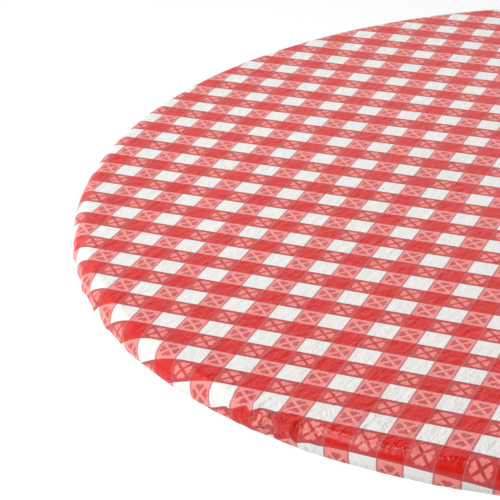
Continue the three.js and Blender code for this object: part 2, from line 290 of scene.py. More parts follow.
def fold_field(cut, angle):
    """Height of the folds above the smooth cloth, as (cut, angle).

    Fine gathers fill the tucked part, small puckers and broad soft folds climb on to the upper
    round, a stretch of the rim at the left has facets, and one nearer the front is crumpled."""
    rng = np.random.default_rng(41)
    whole = 2 * math.pi

    centres = (np.arange(GATHERS) + rng.uniform(-0.3, 0.3, GATHERS)) * whole / GATHERS
    starts = TUCK_START - rng.uniform(-4, 5, GATHERS) * MM
    field = ridges(cut, angle, centres, rng.uniform(3.8, 6.0, GATHERS) * MM,
                   rng.uniform(1.4, 3.3, GATHERS) * MM, starts, 34 * MM)

    field += ridges(cut, angle, rng.uniform(0, whole, PUCKERS), rng.uniform(3, 8, PUCKERS) * MM,
                    rng.uniform(0.05, 0.4, PUCKERS) * MM,
                    ARC_START + rng.uniform(4, 22, PUCKERS) * MM, 14 * MM)

    field += ridges(cut, angle, rng.uniform(0, whole, SOFT_FOLDS), rng.uniform(9, 22, SOFT_FOLDS) * MM,
                    rng.uniform(0.1, 0.6, SOFT_FOLDS) * MM,
                    ARC_START - rng.uniform(0, 14, SOFT_FOLDS) * MM, 24 * MM)

    field += ridges(cut, angle, np.radians(FACET_AZIMUTHS), np.array(FACET_WIDTHS) * MM,
                    np.array(FACET_HEIGHTS) * MM, ARC_START - 4 * MM, 16 * MM, ARC_END, 18 * MM)

    spread = rng.normal(0, 1, (CRUMPLE_DENTS, 2))
    places = np.stack([ARC_START + 14 * MM + spread[:, 0] * 6 * MM,
                       np.radians(CRUMPLE_AZIMUTH + spread[:, 1] * 3.0)], -1)
    field += dents(cut, angle, places, rng.uniform(5, 10, CRUMPLE_DENTS) * MM,
                   rng.uniform(2.2, 3.8, CRUMPLE_DENTS) * MM, rng.uniform(-0.4, 1.2, CRUMPLE_DENTS) * MM,
                   rng.uniform(0, math.pi, CRUMPLE_DENTS))
    return field


def cloth_points(cut, angle, standoff):
    """The cloth's points as (cut, angle, 3): the dressed path, pushed out along its normal by the folds."""
    radius, height, normal_r, normal_z = dressed_path(cut, standoff)
    folds = fold_field(cut, angle)
    radius = radius[:, None] + folds * normal_r[:, None]
    height = height[:, None] + folds * normal_z[:, None]
    return np.stack([radius * np.cos(angle), radius * np.sin(angle), height], -1)


def cut_rows(flat, near, bend, under):
    """Distances from the cloth's centre for the grid's rows, closer together at the bends."""
    first, near_start = 12 * MM, FLAT_REACH - 30 * MM
    return np.concatenate([
        np.linspace(first, near_start, flat, endpoint=False),
        np.linspace(near_start, ARC_START, near, endpoint=False),
        np.linspace(ARC_START, ARC_END, bend, endpoint=False),
        np.linspace(ARC_END, TUCK_START, bend // 2 + 1, endpoint=False),
        np.linspace(TUCK_START, CUT_RADIUS, under),
    ])


def cloth_shell(name, outer_rows, inner_rows, columns, outer, inner):
    """A closed layer of the cloth: an outer grid, an inner one and a strip joining them at the cut edge."""
    angle = np.arange(columns) * (2 * math.pi / columns)
    outer_points = cloth_points(outer_rows, angle, outer)
    inner_points = cloth_points(inner_rows[::-1], angle, inner)
    vertices, quads, triangles = shell_parts(np.concatenate([outer_points, inner_points]))
    thing = mesh_object(name, vertices, quads, triangles, sharp=60)
    cut = np.concatenate([outer_rows, inner_rows[::-1]])
    flat = np.stack([cut[:, None] * np.cos(angle), cut[:, None] * np.sin(angle)], -1).reshape(-1, 2)
    flat = np.concatenate([flat, np.zeros((2, 2))])
    rings_outside = np.repeat([True, False], [len(outer_rows), len(inner_rows)])
    outside = np.concatenate([np.repeat(rings_outside, columns), [True, False]])
    lay_out(thing.data, flat, outside)
    return thing


CREEP = 10.5 * MM
SHOVE = 3.0 * MM
CREASED_PATCHES = ((-0.193, -0.083, 0.05), (-0.166, -0.015, 0.035), (-0.038, -0.50, 0.07))  # x, y, reach


def pulled(cut, angle):
    """How far the print has crept over the edge: a smooth rise from the flat into the bend, and only
    at the near right, where the cloth is pulled tightest."""
    azimuth = np.degrees(angle)
    tight = smooth(252, 278, azimuth) * (1 - smooth(300, 345, azimuth))
    return CREEP * tight * smooth(ARC_START - 22 * MM, ARC_START + 18 * MM, cut)


def crumpled(flat):
    """How crumpled the cloth is at each place, 0 to 1: a bell curve along the rim, only on its bend."""
    cut = np.hypot(flat[:, 0], flat[:, 1])
    azimuth = np.degrees(np.arctan2(flat[:, 1], flat[:, 0])) % 360
    at_bend = smooth(ARC_START + 2 * MM, ARC_START + 12 * MM, cut)
    at_bend = at_bend * (1 - smooth(LOWER_START, TUCK_START, cut))
    return at_bend * np.exp(-(((azimuth - CRUMPLE_AZIMUTH) / 4.2) ** 2))


def creasing(flat):
    """How creased the film is at each place: little where the bend pulls it smooth, more in three patches
    and most where it is crumpled."""
    cut = np.hypot(flat[:, 0], flat[:, 1])
    amount = 1.0 + 0.35 * smooth(FLAT_REACH - 0.12, ARC_START, cut)
    for x, y, reach in CREASED_PATCHES:
        amount = amount + 0.7 * np.exp(-((flat[:, 0] - x) ** 2 + (flat[:, 1] - y) ** 2) / reach ** 2)
    taut = smooth(ARC_START, ARC_START + 9 * MM, cut) * (1 - smooth(ARC_END - 5 * MM, ARC_END + 4 * MM, cut))
    return amount * (1 - 0.92 * taut) + 3.0 * crumpled(flat) + 0.5 * smooth(TUCK_START, CUT_RADIUS, cut)


def shoved(flat):
    """How far the print is shoved about where the cloth is crumpled: two sets of short bent waves."""
    x, y = flat[:, 0], flat[:, 1]
    across = np.sin(y / (3.1 * MM) + 2 * np.sin(x / (5.2 * MM)))
    along = np.sin(x / (3.7 * MM) + 2 * np.sin(y / (4.3 * MM)))
    return SHOVE * crumpled(flat)[:, None] * np.stack([across, along], -1)


def lay_out(mesh, flat, outside):
    """Two UV maps from the flat cut and an attribute for how creased the film is.

    The print's map is in checks. The plain one lies in the unit square, with a large disc for the
    cloth's outside and a small one in the corner for its inside."""
    corner = np.zeros(len(mesh.loops), np.int32)
    mesh.loops.foreach_get("vertex_index", corner)
    cut = np.hypot(flat[:, 0], flat[:, 1])
    kept = 1 - pulled(cut, np.arctan2(flat[:, 1], flat[:, 0]) % (2 * math.pi)) / np.maximum(cut, 0.01)
    printed = (flat * kept[:, None] + shoved(flat)) / (CHECK_X, CHECK_Y) + PRINT_SHIFT
    printed[:, 1] += PRINT_SKEW * flat[:, 0] / CHECK_X
    small = 0.08
    large_disc = 0.5 + 0.498 * flat / CUT_RADIUS
    small_disc = small + small * 0.98 * flat / CUT_RADIUS
    spread = np.where(outside[:, None], large_disc, small_disc)
    for name, places in (("OFBake", spread), ("cloth_print", printed)):
        layer = mesh.uv_layers.new(name=name)
        layer.uv.foreach_set("vector", places[corner].astype(np.float32).ravel())
    amount = mesh.attributes.new("creasing", "FLOAT", "POINT")
    amount.data.foreach_set("value", creasing(flat).astype(np.float32))


# ---- Node patterns ----


class Signal:
    """A number that varies over a surface. Sums, products and comparisons of signals make Math nodes."""

    def __init__(self, tree, socket):
        self.tree = tree
        self.socket = socket

    def join(self, operation, *others):
        """A Math node of this signal and the others, which may be plain numbers."""
        node = self.tree.nodes.new("ShaderNodeMath")
        node.operation = operation
        for slot, value in zip(node.inputs, (self, *others)):
            if isinstance(value, Signal):
                self.tree.links.new(value.socket, slot)
            else:
                slot.default_value = value
        return Signal(self.tree, node.outputs[0])

    def __add__(self, other):
        return self.join("ADD", other)

    def __sub__(self, other):
        return self.join("SUBTRACT", other)

    def __mul__(self, other):
        return self.join("MULTIPLY", other)

    def __abs__(self):
        return self.join("ABSOLUTE")

    def least(self, other):
        return self.join("MINIMUM", other)

    def most(self, other):
        return self.join("MAXIMUM", other)

    def wrapped(self, period):
        return self.join("FLOORED_MODULO", period)

    def inverse(self):
        return (self * -1.0) + 1.0

    def step(self, low, high):
        """0 at low, 1 at high and a smooth S between. High may be the smaller."""
        node = self.tree.nodes.new("ShaderNodeMapRange")
        node.interpolation_type = "SMOOTHSTEP"
        self.tree.links.new(self.socket, node.inputs["Value"])
        flip = high < low
        node.inputs["From Min"].default_value = min(low, high)
        node.inputs["From Max"].default_value = max(low, high)
        node.inputs["To Min"].default_value = 1.0 if flip else 0.0
        node.inputs["To Max"].default_value = 0.0 if flip else 1.0
        return Signal(self.tree, node.outputs["Result"])


def srgb(red, green, blue):
    """A colour given as 0 to 255 on a screen, in Blender's linear values."""
    def linear(value):
        value /= 255
        return value / 12.92 if value <= 0.04045 else ((value + 0.055) / 1.055) ** 2.4

    return (linear(red), linear(green), linear(blue), 1.0)


def new_material(name, roughness, metallic=0.0, ior=1.5):
    """A material with one Principled shader, and its tree and shader."""
    material = bpy.data.materials.new(name)
    material.use_nodes = True
    tree = material.node_tree
    shader = tree.nodes["Principled BSDF"]
    shader.inputs["Roughness"].default_value = roughness
    shader.inputs["Metallic"].default_value = metallic
    shader.inputs["IOR"].default_value = ior
    return material, tree, shader


def object_place(tree):
    """The socket of each point's place in metres."""
    return tree.nodes.new("ShaderNodeTexCoord").outputs["Object"]


def noise(tree, place, scale, detail=3.0, roughness=0.5, distortion=0.0):
    """Noise from 0 to 1 with `scale` lumps a metre."""
    node = tree.nodes.new("ShaderNodeTexNoise")
    tree.links.new(place, node.inputs["Vector"])
    node.inputs["Scale"].default_value = scale
    node.inputs["Detail"].default_value = detail
    node.inputs["Roughness"].default_value = roughness
    node.inputs["Distortion"].default_value = distortion
    return Signal(tree, node.outputs["Fac"])


def painted(tree, base, *layers):
    """A colour socket: base, covered by each (mask, colour) in turn."""
    socket = base
    for mask, colour in layers:
        node = tree.nodes.new("ShaderNodeMix")
        node.data_type = "RGBA"
        tree.links.new(mask.socket, node.inputs["Factor"])
        first, second = [s for s in node.inputs if s.type == "RGBA"]
        for slot, value in ((first, socket), (second, colour)):
            if isinstance(value, tuple):
                slot.default_value = value
            else:
                tree.links.new(value, slot)
        socket = [s for s in node.outputs if s.type == "RGBA"][0]
    return socket


def bumped(tree, shader, height, depth, before=None):
    """Adds bump of `depth` metres for a height signal of 0 to 1, on top of an earlier bump."""
    node = tree.nodes.new("ShaderNodeBump")
    node.inputs["Strength"].default_value = 1.0
    node.inputs["Distance"].default_value = depth
    tree.links.new(height.socket, node.inputs["Height"])
    if before is not None:
        tree.links.new(before, node.inputs["Normal"])
    tree.links.new(node.outputs["Normal"], shader.inputs["Normal"])
    return node.outputs["Normal"]


WHITE_PRINT = srgb(231, 228, 225)
PINK_GROUND = srgb(236, 137, 132)
PETAL_DARK = srgb(197, 84, 86)
PALE_LINE = srgb(241, 145, 138)
RED_GROUND = srgb(201, 64, 62)
PETAL_PALE = srgb(234, 130, 123)
SOLID_RED = srgb(208, 20, 12)
DARK_LINE = srgb(150, 76, 84)
MAUVE_LINE = srgb(160, 100, 114)
DEEP_LINE = srgb(184, 58, 62)

# The motif's sizes, in checks from the check's centre.
CHECK_HALF = 0.5
PRINT_SOFT = 0.014  # half of the blur of the print's edges
LOBE_OUT = 0.285  # the centres of a petal's two round lobes, outwards and aside
LOBE_ASIDE = 0.085
LOBE_RADIUS = 0.089
PETAL_TIP = 0.085  # where a petal's point is
PETAL_END = 0.31
LINE_FADE = (0.46, 0.42)  # where the cross ends before the check's edge
EDGE_LINE = 0.470
EDGE_STRENGTH = 0.6


def printed_vinyl():
    """The printed film.

    Checks are bands of colour across U and V, one check wide and one apart. Where bands cross the
    print is solid red. A band alone holds four heart petals and a diagonal cross: a petal is the
    larger of a round lobe, mirrored, and a wedge that tapers to the centre."""
    material, tree, shader = new_material("printed_vinyl", roughness=0.32)
    uv = tree.nodes.new("ShaderNodeUVMap")
    uv.uv_map = "cloth_print"
    split = tree.nodes.new("ShaderNodeSeparateXYZ")
    tree.links.new(uv.outputs["UV"], split.inputs[0])
    u = Signal(tree, split.outputs["X"])
    v = Signal(tree, split.outputs["Y"])
    from_column = abs(u.wrapped(2.0) - 1.0)
    from_row = abs(v.wrapped(2.0) - 1.0)
    column = from_column.step(CHECK_HALF + PRINT_SOFT, CHECK_HALF - PRINT_SOFT)
    row = from_row.step(CHECK_HALF + PRINT_SOFT, CHECK_HALF - PRINT_SOFT)
    both = column * row
    column_only = column * row.inverse()
    row_only = row * column.inverse()

    right = (u + CHECK_HALF).wrapped(1.0) - CHECK_HALF
    far = (v + CHECK_HALF).wrapped(1.0) - CHECK_HALF
    across, along = abs(right), abs(far)
    outward, aside = across.most(along), across.least(along)
    past_lobe = outward - LOBE_OUT
    beside_lobe = aside - LOBE_ASIDE
    lobe = (past_lobe * past_lobe + beside_lobe * beside_lobe).join("SQRT")
    lobe = (lobe * -1.0) + LOBE_RADIUS
    taper = ((outward - PETAL_TIP) * 0.72 - aside * 0.69).least((outward * -1.0) + PETAL_END)
    petal = lobe.most(taper).step(-PRINT_SOFT, PRINT_SOFT)
    inside = outward.step(*LINE_FADE)
    falling = abs(right + far).step(0.070, 0.024) * inside
    rising = abs(right - far).step(0.045, 0.015) * inside * 0.6
    column_edge = abs(from_column - EDGE_LINE).step(0.078, 0.018)
    row_edge = abs(from_row - EDGE_LINE).step(0.078, 0.018)

    colour = painted(
        tree,
        WHITE_PRINT,
        (column_only, PINK_GROUND),
        (column_only * petal, PETAL_DARK),
        (column_only * rising, PALE_LINE),
        (column_only * falling, PALE_LINE),
        (column_only * column_edge * EDGE_STRENGTH, MAUVE_LINE),
        (row_only, RED_GROUND),
        (row_only * petal, PETAL_PALE),
        (row_only * rising, DEEP_LINE),
        (row_only * falling, DEEP_LINE),
        (row_only * row_edge * EDGE_STRENGTH, DARK_LINE),
        (both, SOLID_RED),
        (both * column_edge.most(row_edge) * EDGE_STRENGTH, DEEP_LINE),
    )
    tree.links.new(colour, shader.inputs["Base Color"])

    place = object_place(tree)
    creased = tree.nodes.new("ShaderNodeAttribute")
    creased.attribute_name = "creasing"
    strength = Signal(tree, creased.outputs["Fac"])
    one_way = crease_lines(tree, place, 84, 26.0)
    other_way = crease_lines(tree, place, -38, 34.0)
    fine = noise(tree, stretched(tree, place, 84, 2.3), 135.0, detail=4.0, roughness=0.6)
    lumps = noise(tree, place, 42.0, detail=2.0)
    height = (one_way.most(other_way) * 0.22 + fine * 2.1 + lumps * 0.9) * strength
    waves = noise(tree, place, 7.0, detail=1.0)
    normal = bumped(tree, shader, waves, 0.9 * MM)
    bumped(tree, shader, height, 0.8 * MM, normal)
    rough = noise(tree, place, 30.0, detail=2.0) * 0.12 + 0.23
    tree.links.new(rough.socket, shader.inputs["Roughness"])
    return material


def stretched(tree, place, degrees, length):
    """A place socket whose patterns come out `length` times longer in the direction `degrees` from X."""
    node = tree.nodes.new("ShaderNodeMapping")
    node.vector_type = "TEXTURE"
    node.inputs["Rotation"].default_value = (0.0, 0.0, math.radians(degrees))
    node.inputs["Scale"].default_value = (length, 1.0, 1.0)
    tree.links.new(place, node.inputs["Vector"])
    return node.outputs[0]


def crease_lines(tree, place, degrees, scale):
    """Short thin creases, mostly one way: borders of long cells, kept only where a coarse noise is high."""
    warp = tree.nodes.new("ShaderNodeTexNoise")
    warp.inputs["Scale"].default_value = 22.0
    tree.links.new(place, warp.inputs["Vector"])
    push = tree.nodes.new("ShaderNodeVectorMath")
    push.operation = "MULTIPLY_ADD"
    push.inputs[1].default_value = (0.03, 0.03, 0.03)
    tree.links.new(warp.outputs["Color"], push.inputs[0])
    tree.links.new(place, push.inputs[2])
    turned = stretched(tree, push.outputs[0], degrees, 3.2)
    net = tree.nodes.new("ShaderNodeTexVoronoi")
    net.feature = "DISTANCE_TO_EDGE"
    net.inputs["Scale"].default_value = scale * 4.6
    tree.links.new(turned, net.inputs["Vector"])
    line = Signal(tree, net.outputs["Distance"]).step(0.13, 0.0)
    return line * noise(tree, turned, scale * 1.6, detail=1.0).step(0.44, 0.60)


def woven(name, colour, darker, threads, roughness=0.85, relief=0.12 * MM):
    """A woven or brushed cloth: crossed fine waves with uneven colour."""
    material, tree, shader = new_material(name, roughness)
    place = object_place(tree)
    split = tree.nodes.new("ShaderNodeSeparateXYZ")
    tree.links.new(place, split.inputs[0])
    x = Signal(tree, split.outputs["X"])
    y = Signal(tree, split.outputs["Y"])
    turns = threads * 2 * math.pi
    weave = (x * turns).join("SINE") * (y * turns).join("SINE") * 0.5 + 0.5
    fuzz = noise(tree, place, 420.0, detail=4.0)
    mix = (weave * 0.5 + fuzz * 0.5).step(0.25, 0.8)
    tree.links.new(painted(tree, darker, (mix, colour)), shader.inputs["Base Color"])
    bumped(tree, shader, weave * 0.6 + fuzz * 0.4, relief)
    shader.inputs["Sheen Weight"].default_value = 0.25
    return material


def powder_coat(name, roughness, relief, lumps):
    """Black paint with a fine pebbled surface and faint paler patches."""
    material, tree, shader = new_material(name, roughness)
    place = object_place(tree)
    pebble = noise(tree, place, lumps, detail=3.0)
    patch = noise(tree, place, 12.0, detail=4.0)
    dark, pale = (0.010, 0.010, 0.011, 1.0), (0.032, 0.032, 0.034, 1.0)
    tree.links.new(painted(tree, dark, (patch.step(0.35, 0.8), pale)), shader.inputs["Base Color"])
    bumped(tree, shader, pebble, relief)
    rough = patch * 0.2 + (roughness - 0.1)
    tree.links.new(rough.socket, shader.inputs["Roughness"])
    return material


def zinc_plate():
    """Bright zinc with a faint cloudy bloom."""
    material, tree, shader = new_material("zinc_plate", 0.32, metallic=1.0)
    place = object_place(tree)
    cloud = noise(tree, place, 160.0, detail=4.0)
    dark, pale = (0.42, 0.43, 0.44, 1.0), (0.72, 0.73, 0.75, 1.0)
    tree.links.new(painted(tree, dark, (cloud.step(0.3, 0.7), pale)), shader.inputs["Base Color"])
    rough = cloud * 0.25 + 0.2
    tree.links.new(rough.socket, shader.inputs["Roughness"])
    return material


def moulded_nylon():
    """Black nylon with a fine matt grain."""
    material, tree, shader = new_material("moulded_nylon", 0.55)
    place = object_place(tree)
    grain = noise(tree, place, 1400.0)
    patch = noise(tree, place, 60.0)
    dark, pale = (0.018, 0.018, 0.019, 1.0), (0.045, 0.045, 0.047, 1.0)
    tree.links.new(painted(tree, dark, (patch.step(0.3, 0.8), pale)), shader.inputs["Base Color"])
    bumped(tree, shader, grain, 0.03 * MM)
    return material


def timber(name, pale, dark, roughness, stretch):
    """Wood: noise drawn out along the grain for its figure, and finer noise for its pores."""
    material, tree, shader = new_material(name, roughness)
    place = tree.nodes.new("ShaderNodeMapping")
    place.inputs["Scale"].default_value = stretch
    tree.links.new(object_place(tree), place.inputs["Vector"])
    figure = noise(tree, place.outputs[0], 9.0, detail=6.0, distortion=1.5)
    pores = noise(tree, place.outputs[0], 120.0, detail=3.0)
    mix = (figure * 0.75 + pores * 0.25).step(0.32, 0.68)
    tree.links.new(painted(tree, dark, (mix, pale)), shader.inputs["Base Color"])
    bumped(tree, shader, pores, 0.05 * MM)
    return material


# ---- The pieces ----


def place_piece(thing, material, slot, *replaced):
    """Gives a finished piece its material, hides the nodes it stands for and fixes it to the table. The slot
    it is given is not used."""
    thing.data.materials.append(material)
    if replaced:
        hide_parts(*replaced)
    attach(thing, "root")
    return thing


CLOTH_COLUMNS = 1440
SIDE_ANGLES = np.radians([0.0, 90.0, 180.0, 270.0])


def cover():
    """The printed film, from the table's centre to its cut edge under the board."""
    thing = cloth_shell("printed_cover", cut_rows(4, 8, 14, 12), cut_rows(2, 1, 4, 4), CLOTH_COLUMNS,
                        STANDOFF, STANDOFF - FILM)
    return place_piece(thing, printed_vinyl(), "printed_vinyl", "vinyl_face")


def lining():
    """The flannel bonded under the film."""
    rows = cut_rows(3, 3, 6, 8)
    thing = cloth_shell("flannel_lining", rows, rows, CLOTH_COLUMNS // 2, LINING_OUTER, LINING_INNER)
    felt = woven("flannel", (0.80, 0.79, 0.75, 1), (0.62, 0.61, 0.57, 1), 420, roughness=0.95)
    return place_piece(thing, felt, "flannel", "flannel_backing")


def hem_rings(section, columns):
    """A closed section of (radius, height) carried round the hem, sinking with each gather."""
    section = np.asarray(section)
    angle = np.arange(columns) * (2 * math.pi / columns)
    sink = fold_field(np.array([CUT_RADIUS]), angle)[0]
    x = section[:, :1] * np.cos(angle)
    y = section[:, :1] * np.sin(angle)
    return np.stack([x, y, section[:, 1:] - sink], -1)


def hem_tape():
    """The binding: a strip folded in a C round the cloth's cut edge."""
    inside, outside = binding_high.x - BINDING_WIDTH, binding_high.x
    low, high, thick, slope = binding_low.z, binding_high.z, BINDING_THICKNESS, 0.2 * MM
    section = [
        (outside, high), (outside, high - thick), (inside + thick, high - thick - slope),
        (inside + thick, low + thick), (outside, low + thick + slope), (outside, low + slope),
        (inside, low), (inside, high - slope),
    ]
    rings = hem_rings(softened(section, 0.5 * MM, 3, closed=True), 1080)
    thing = mesh_object("hem_tape", *shell_parts(rings, looped=True), sharp=70)
    tape = woven("cotton_tape", (0.86, 0.85, 0.82, 1), (0.66, 0.65, 0.61, 1), 900, roughness=0.85)
    return place_piece(thing, tape, "binding_tape", "hem_binding")


def hem_elastic():
    """The flat elastic inside the fold, with a slightly ribbed section."""
    low, high = elastic_low.z + 0.1 * MM, elastic_high.z
    outside, inside = elastic_high.x, elastic_high.x - ELASTIC_WIDTH
    steps, groove = 4, 0.15 * MM
    step = (outside - inside) / steps
    top = [(inside + step * i, high - groove * (i % 2)) for i in range(steps + 1)]
    bottom = [(outside - step * i, low + groove * (i % 2)) for i in range(steps + 1)]
    rings = hem_rings(softened(top + bottom, 0.4 * MM, 2, closed=True), 720)
    thing = mesh_object("elastic_band", *shell_parts(rings, looped=True))
    braid = woven("elastic_braid", (0.88, 0.88, 0.86, 1), (0.70, 0.70, 0.68, 1), 1300, roughness=0.8)
    return place_piece(thing, braid, "elastic_braid", "hem_elastic")


def hem_stitches():
    """The seam: one short thread after another round the tape, each a bar with rounded ends."""
    count, sides, length, thread_radius = 880, 6, 0.78, 0.36 * MM
    radius = binding_high.x - SEAM_INSET
    pitch = 2 * math.pi / count
    along = np.array([-0.5, -0.42, -0.25, 0.25, 0.42, 0.5]) * length
    girth = np.array([0.35, 0.75, 1.0, 1.0, 0.75, 0.35]) * thread_radius
    turn = -np.arange(sides) * (2 * math.pi / sides)
    centre = np.arange(count) * pitch
    angle = centre[:, None] + along * pitch
    round_hem = np.linspace(0, 2 * math.pi, 2881)
    hem_folds = fold_field(np.array([CUT_RADIUS]), round_hem)[0]
    sink = np.interp(angle.ravel() % (2 * math.pi), round_hem, hem_folds)
    height = binding_low.z + 0.05 * MM - sink.reshape(angle.shape)
    reach = radius + girth[None, :, None] * np.cos(turn)
    x = reach * np.cos(angle)[:, :, None]
    y = reach * np.sin(angle)[:, :, None]
    z = height[:, :, None] + girth[None, :, None] * np.sin(turn)
    points = np.stack([x, y, z], -1)
    thing = mesh_object("seam_stitches", *joined_parts([shell_parts(rings) for rings in points]))
    cotton = woven("sewing_thread", (0.93, 0.92, 0.90, 1), (0.78, 0.77, 0.75, 1), 2200, roughness=0.6)
    return place_piece(thing, cotton, "sewing_thread", "hem_stitching")


def lathe(name, profile, sides, corner=0.5 * MM, closed=False, centre=(0.0, 0.0)):
    """A turned piece. Its profile of (radius, height) runs outwards along the top, down the outside and
    back along the bottom."""
    rings = turned_rings(softened(profile, corner, 4, closed=closed), sides, centre)
    return mesh_object(name, *shell_parts(rings, looped=closed))


def column():
    """The steel tube, open at both ends, with eased edges."""
    outside, inside = column_high.x, column_high.x - TUBE_WALL
    low, high = column_low.z, column_high.z
    heights = np.linspace(high, low, 9)[1:-1]
    profile = [(inside, high), (outside, high)]
    profile += [(outside, z) for z in heights]
    profile += [(outside, low), (inside, low)]
    thing = lathe("column_tube_look", profile, 144, 0.6 * MM, closed=True)
    paint = powder_coat("column_paint", 0.38, 0.03 * MM, 900)
    return place_piece(thing, paint, "black_column", "column_tube")


def channel_section(half, top, low, draft, shoulder, roof, wall):
    """Closed sections (stations, points, 2) of an arm that is hollow below, from the top's middle round.

    One half goes along the top, round its shoulder, down the side, in under the wall's foot, up inside
    and round to the roof's middle. The other half is its mirror image."""
    corner = np.radians([90, 70, 50, 30, 10, 0])
    inner = np.maximum(half - wall, 0.3 * MM)
    round_in = np.minimum(0.6 * shoulder, np.minimum(inner, np.maximum(roof - low, 0.2 * MM)) * 0.5)
    right = [(half * 0, top)]
    right += [(half - shoulder * (1 - math.cos(a)), top - shoulder * (1 - math.sin(a))) for a in corner]
    right += [(half + draft, low + 1.2 * MM), (half + draft - 1.0 * MM, low)]
    right += [(inner + 0.8 * MM, low), (inner, low + np.minimum(0.8 * MM, 0.5 * (roof - low)))]
    right += [(inner - round_in * (1 - math.cos(a)), roof - round_in * (1 - math.sin(a)))
              for a in corner[::-1]]
    right += [(half * 0, roof)]
    left = [(-y, z) for y, z in right[-2:0:-1]]
    both = right + left
    return np.stack([np.stack(np.broadcast_arrays(y, z), -1) for y, z in both], 1)


def along_x(stations, sections):
    """Rings from sections (stations, points, 2) of (y, z) set up along X."""
    x = np.broadcast_to(stations[:, None], sections.shape[:2])
    return np.concatenate([x[..., None], sections], -1)


def four_ways(rings):
    """The same rings turned to each of the four arms, as parts."""
    parts = []
    x, y, z = rings[..., 0], rings[..., 1], rings[..., 2]
    for angle in SIDE_ANGLES:
        c, s = math.cos(angle), math.sin(angle)
        parts.append(shell_parts(np.stack([x * c - y * s, x * s + y * c, z], -1)))
    return parts


def round_ended(x, root, tip, start, end):
    """Half width along an arm: it tapers from root to tip and ends in a half round of radius tip."""
    taper = root + (tip - root) * np.clip((x - start) / (end - tip - start), 0, 1)
    past = np.clip((x - (end - tip)) / tip, 0, 1)
    return taper * np.sqrt(np.maximum(1 - past ** 2, 0.0009))


def arm_stations(start, middle, end):
    """Stations along an arm: even to the middle, then closer together, as a sine, round its end."""
    bend = np.sin(np.linspace(0, math.pi / 2, 15))
    return np.concatenate([np.linspace(start, middle, 24, endpoint=False), middle + (end - middle) * bend])


def iron_base():
    """The cast cross: a hub with a socket and a pocket for the nut, and four arms hollow below."""
    end, low, hub = base_high.x, base_low.z, BASE_HUB
    root_half, tip_half = 34 * MM, 23 * MM
    root_top, tip_top = 62 * MM, 26.3 * MM
    stations = arm_stations(46 * MM, end - tip_half, end)
    half = round_ended(stations, root_half, tip_half, hub, end)
    top = root_top + (tip_top - root_top) * np.clip((stations - hub) / (end - hub), 0, 1)
    top = top + 5 * MM * (1 - smooth(hub, hub + 34 * MM, stations))
    top = top - 3.5 * MM * smooth(end - 16 * MM, end, stations)
    shoulder = np.minimum(10 * MM, half * 0.8)
    solid = smooth(end - 58 * MM, end - 44 * MM, stations)
    roof = (top - ARM_WALL) * (1 - solid) + (low + 0.3 * MM) * solid
    arms = channel_section(half, top, low + half * 0, 1.5 * MM, shoulder, roof, ARM_WALL)
    profile = [
        (ROD_BORE, BASE_BOSS), (SOCKET_RADIUS, BASE_BOSS), (SOCKET_RADIUS, BASE_RIM),
        (hub - 12 * MM, BASE_RIM), (hub - 2 * MM, BASE_BOSS), (hub, BASE_BOSS - 10 * MM),
        (hub + 1 * MM, low), (BASE_POCKET_RADIUS, low), (BASE_POCKET_RADIUS, BASE_POCKET),
        (ROD_BORE, BASE_POCKET),
    ]
    middle = shell_parts(turned_rings(softened(profile, 3 * MM, 5, closed=True), 144), looped=True)
    thing = mesh_object("iron_base", *joined_parts([middle, *four_ways(along_x(stations, arms))]), sharp=50)
    return place_piece(thing, powder_coat("base_iron", 0.5, 0.10 * MM, 420), "black_iron", "cross_base")


def iron_spider():
    """The plate under the top: a hub with a socket, and four flat ribbed arms."""
    high, end, hub = spider_high.z, spider_high.x, SPIDER_HUB
    under = high - SPIDER_PLATE
    root_half, tip_half = 23 * MM, 17 * MM
    stations = arm_stations(40 * MM, end - tip_half, end)
    half = round_ended(stations, root_half, tip_half, hub, end)
    flat = channel_section(half, high + half * 0, under + half * 0, 0.0, np.minimum(1.2 * MM, half * 0.5),
                           under + 0.05 * MM + half * 0, half * 0.6)
    rib_steps = 10
    rib_at = np.linspace(41 * MM, 122 * MM, rib_steps)
    rib_low = np.linspace(under - 12 * MM, under - 0.8 * MM, rib_steps)
    rib_half = np.full(rib_steps, 4.5 * MM)
    rib = channel_section(rib_half, under + 2 * MM + rib_half * 0, rib_low, 0.0, rib_half * 0 + 0.5 * MM,
                          rib_low + 0.05 * MM, rib_half * 0.6)
    hub_low, socket_low, pocket_low = high - 15 * MM, high - 27 * MM, high - 8.3 * MM
    socket_outside = SOCKET_RADIUS + 7 * MM
    profile = [
        (HEAD_BORE, high), (hub, high), (hub, under - 1 * MM), (socket_outside + 2 * MM, hub_low),
        (socket_outside, socket_low), (SOCKET_RADIUS, socket_low), (SOCKET_RADIUS, hub_low),
        (ROD_BORE, hub_low), (ROD_BORE, pocket_low), (HEAD_BORE, pocket_low),
    ]
    middle = shell_parts(turned_rings(softened(profile, 1.5 * MM, 4, closed=True), 120), looped=True)
    parts = [middle, *four_ways(along_x(stations, flat)), *four_ways(along_x(rib_at, rib))]
    thing = mesh_object("iron_spider", *joined_parts(parts), sharp=50)
    return place_piece(thing, powder_coat("spider_iron", 0.5, 0.08 * MM, 500), "black_iron", "top_spider")


